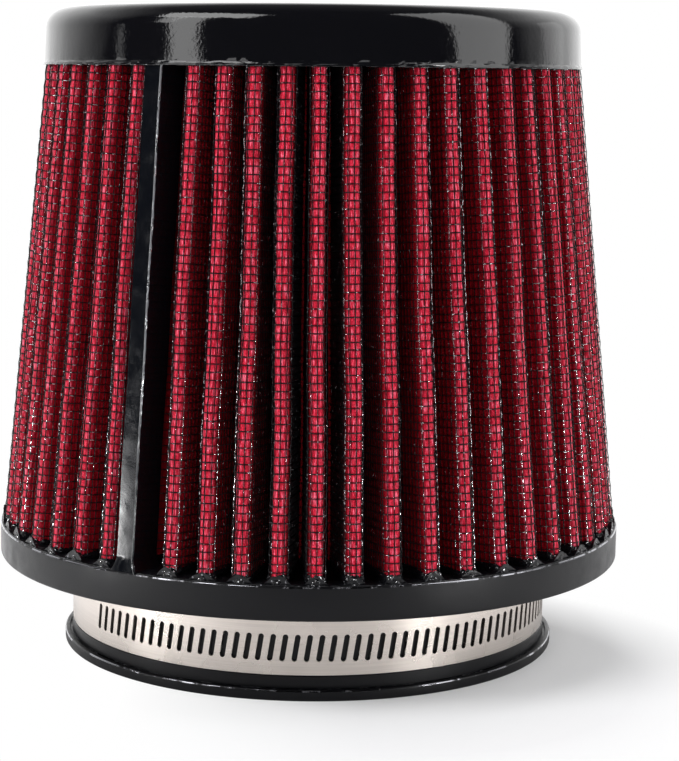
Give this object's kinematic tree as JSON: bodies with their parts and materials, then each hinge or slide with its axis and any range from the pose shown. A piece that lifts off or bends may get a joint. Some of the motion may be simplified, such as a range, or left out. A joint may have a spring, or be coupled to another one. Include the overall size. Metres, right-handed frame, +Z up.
{
  "type": "cone air filter",
  "caption": "Clamp-on cone air filter: pleated red gauze under wire screens, cast cap and base with a short inlet neck, and a worm-drive band clamp.",
  "frame": {"origin": "centre of the inlet's mouth, in the lower face of the lip on which the filter stands", "axes": "+Z up along the cone's axis from the inlet to the cap, -Y to the front, +X to the right seen from the front"},
  "size_m": [0.146, 0.146, 0.1474],
  "materials": {
    "base_casting": "satin black moulded polyurethane",
    "cap_casting": "glossy black moulded polyurethane",
    "oiled_gauze": "red oiled cotton gauze",
    "screen_wire": "black coated wire",
    "strip": "glossy black strip",
    "clamp_steel": "brushed stainless",
    "screw_steel": "zinc plated steel"
  },
  "bodies": {
    "filter": {"base": "base_casting", "filter_media": "oiled_gauze", "outer_screen": "screen_wire", "inner_screen": "screen_wire", "seam_strip": "strip", "top_cap": "cap_casting", "clamp_band": "clamp_steel", "clamp_housing": "clamp_steel"},
    "clamp_screw": {"clamp_screw": "screw_steel"}
  },
  "joints": [
    {"name": "clamp_screw_turn", "type": "hinge", "parent": "filter", "child": "clamp_screw", "pos_m": [0, 0.06115, 0.0113], "axis": [1, 0, 0], "continuous": true}
  ]
}
